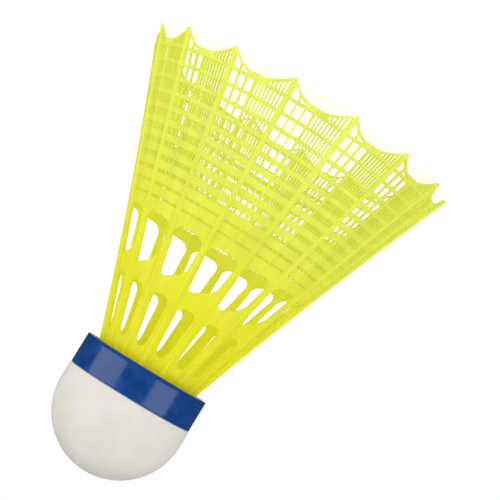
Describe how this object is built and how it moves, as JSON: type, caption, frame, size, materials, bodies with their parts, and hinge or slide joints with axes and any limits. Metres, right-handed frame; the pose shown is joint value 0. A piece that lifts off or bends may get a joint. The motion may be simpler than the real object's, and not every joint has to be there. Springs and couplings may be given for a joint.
{
  "type": "badminton shuttlecock",
  "caption": "Shuttlecock with a scalloped, ribbed cone skirt of moulded yellow plastic on a domed off-white head with a blue band.",
  "frame": {"origin": "centre of the circle of rim tips, on the surface that the shuttlecock stands on", "axes": "+Z along the axis from the open rim towards the nose, +X through one rib"},
  "size_m": [0.0646, 0.0646, 0.0785],
  "materials": {
    "skirt_nylon": "translucent lime-yellow moulded nylon, satin",
    "adhesive": "dried contact adhesive",
    "cork": "natural cork, unfinished",
    "cover_skin": "smooth off-white synthetic leather skin",
    "band_tape": "glossy blue tape"
  },
  "bodies": {
    "root": {"skirt": "skirt_nylon", "glue_ring": "adhesive", "cork_core": "cork", "nose_cover": "cover_skin", "band": "band_tape"}
  },
  "joints": []
}
